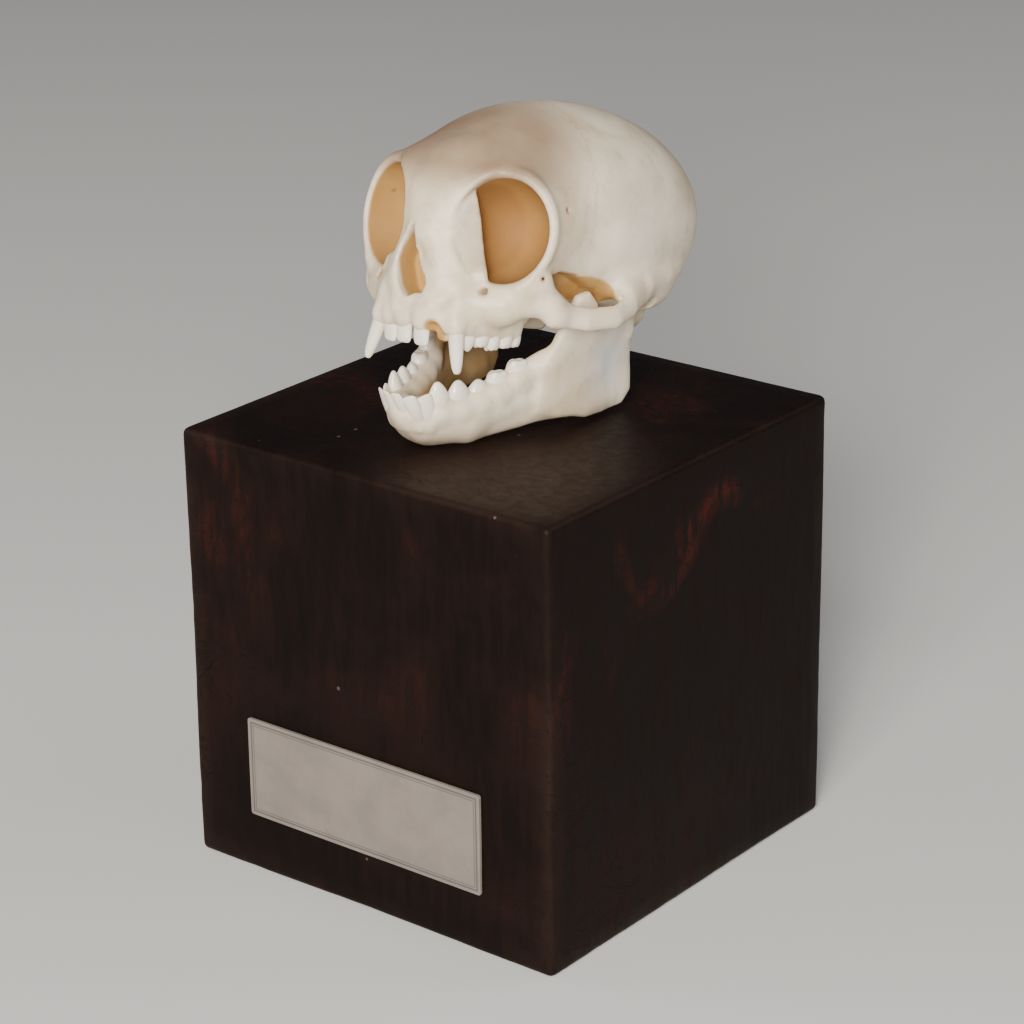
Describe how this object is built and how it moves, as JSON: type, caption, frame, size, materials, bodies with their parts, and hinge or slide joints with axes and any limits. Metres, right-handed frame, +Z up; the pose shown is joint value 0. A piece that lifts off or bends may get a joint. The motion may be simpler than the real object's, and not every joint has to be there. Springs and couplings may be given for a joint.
{
  "type": "marmoset skull on a wooden block",
  "caption": "Life-size marmoset skull with its mouth open, resting on its lower jaw on a dark wooden cube with a blank paper label.",
  "frame": {"origin": "centre of the wooden block's bottom face", "axes": "+Z up, -Y towards the label face, which the skull's face looks over, +X to the skull's left"},
  "size_m": [0.0496, 0.0536, 0.083],
  "materials": {
    "wood_block": "dark stained, waxed, worn at the edges",
    "label": "matt grey-beige paper with a thin printed border",
    "bone": "dry cleaned bone, softly satin, teeth glossier"
  },
  "bodies": {
    "root": {"wood_block": "wood_block", "label": "label", "mandible": "bone", "cranium": "bone"}
  },
  "joints": []
}
